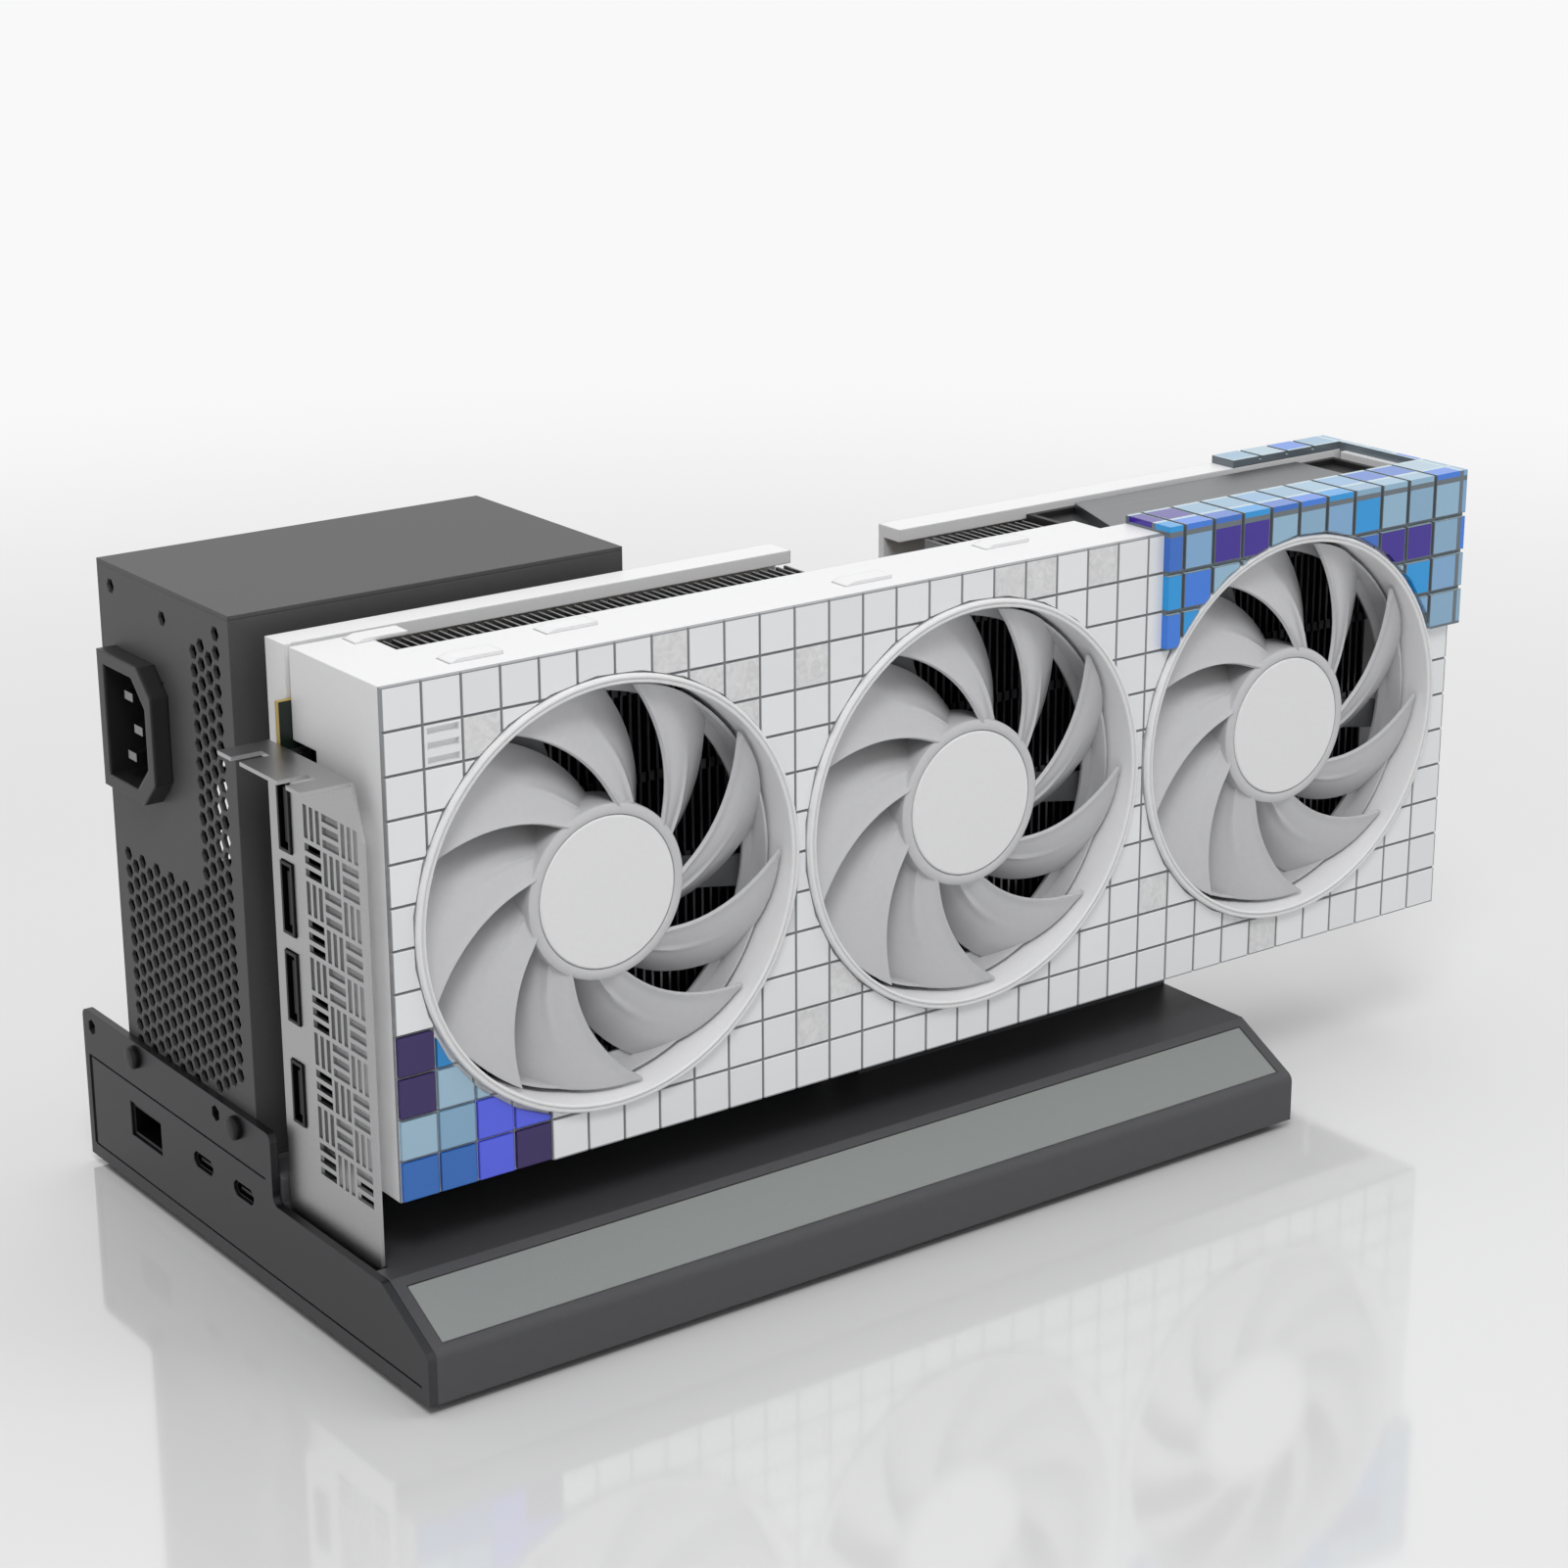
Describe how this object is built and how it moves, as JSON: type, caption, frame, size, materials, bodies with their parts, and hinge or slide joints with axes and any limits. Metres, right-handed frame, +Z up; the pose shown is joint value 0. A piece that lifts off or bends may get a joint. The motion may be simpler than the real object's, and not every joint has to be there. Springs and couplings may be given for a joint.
{
  "type": "open graphics card dock",
  "caption": "Low dock base that carries a standing power supply and a long plug-in card with a tiled face, ducted fans and a slot bracket.",
  "frame": {"origin": "centre of the dock's footprint on the surface it stands on", "axes": "+X along the card away from its bracket, +Y from the fans to the power supply, +Z up"},
  "size_m": [0.3268, 0.161, 0.1553],
  "materials": {
    "dock_shell": "matte",
    "plate_metal": "matte",
    "light_panel": "satin",
    "mat_rubber": "matte",
    "circuit_board": "satin",
    "black_plastic": "satin",
    "psu_steel": "matte",
    "nickel": "satin",
    "screw_steel": "satin",
    "contact_gold": "gloss",
    "cooler_metal": "satin",
    "pipe_copper": "satin",
    "capacitor_sleeve": "gloss",
    "shroud_white": "satin",
    "tile_white": "gloss",
    "tile_blue": "gloss",
    "cap_clear": "gloss",
    "fan_silver": "satin",
    "bar_grey": "satin",
    "back_metal": "satin"
  },
  "bodies": {
    "dock": {"base_shell": "dock_shell", "end_plate": "plate_metal", "bottom_plate": "plate_metal", "bottom_screws": "screw_steel", "light_strip": "light_panel", "light_board": "circuit_board", "rest_mat": "mat_rubber", "dock_board": "circuit_board", "board_standoffs": "nickel", "board_screws": "screw_steel", "card_slot": "black_plastic", "data_socket": "nickel", "small_sockets": "nickel", "power_header": "black_plastic", "psu_tray": "psu_steel", "psu_cover": "psu_steel", "mains_inlet": "black_plastic", "inlet_pins": "nickel", "psu_fan_frame": "black_plastic", "psu_board": "circuit_board", "psu_board_posts": "nickel", "transformer": "black_plastic", "psu_heatsinks": "back_metal", "capacitors": "capacitor_sleeve", "output_sockets": "black_plastic", "psu_screws": "screw_steel"},
    "card": {"card_board": "circuit_board", "edge_contacts": "contact_gold", "graphics_chip": "black_plastic", "memory_chips": "black_plastic", "card_power_socket": "black_plastic", "cold_plate": "nickel", "heat_pipes": "pipe_copper", "heatsink_fins": "cooler_metal", "shroud": "shroud_white", "tile_face": "tile_white", "accent_tiles": "tile_blue", "corner_cap": "cap_clear", "top_bar_frame": "black_plastic", "top_bar": "bar_grey", "back_plate": "back_metal", "back_screws": "screw_steel", "io_bracket": "nickel", "bracket_screws": "screw_steel", "display_sockets": "nickel", "video_socket": "nickel", "fan_mount_left": "black_plastic", "fan_mount_middle": "black_plastic", "fan_mount_right": "black_plastic"},
    "fan_left": {"fan_rotor_left": "fan_silver"},
    "fan_middle": {"fan_rotor_middle": "fan_silver"},
    "fan_right": {"fan_rotor_right": "fan_silver"},
    "psu_fan": {"psu_fan_rotor": "black_plastic"},
    "latch": {"slot_latch": "black_plastic"}
  },
  "joints": [
    {"name": "card_lift", "type": "slide", "parent": "dock", "child": "card", "axis": [0, 0, 1], "range_m": [0, 0.018]},
    {"name": "fan_left_spin", "type": "hinge", "parent": "card", "child": "fan_left", "pos_m": [-0.06155, -0.0524, 0.0956], "axis": [0, 1, 0], "continuous": true},
    {"name": "fan_middle_spin", "type": "hinge", "parent": "card", "child": "fan_middle", "pos_m": [0.03885, -0.0524, 0.0956], "axis": [0, 1, 0], "continuous": true},
    {"name": "fan_right_spin", "type": "hinge", "parent": "card", "child": "fan_right", "pos_m": [0.13925, -0.0524, 0.0956], "axis": [0, 1, 0], "continuous": true},
    {"name": "psu_fan_spin", "type": "hinge", "parent": "dock", "child": "psu_fan", "pos_m": [-0.0665, 0.0504, 0.0928], "axis": [0, 1, 0], "continuous": true},
    {"name": "latch_press", "type": "hinge", "parent": "dock", "child": "latch", "pos_m": [0.0151, -0.0195, 0.0224], "axis": [0, 1, 0], "range_deg": [0, 25]}
  ]
}
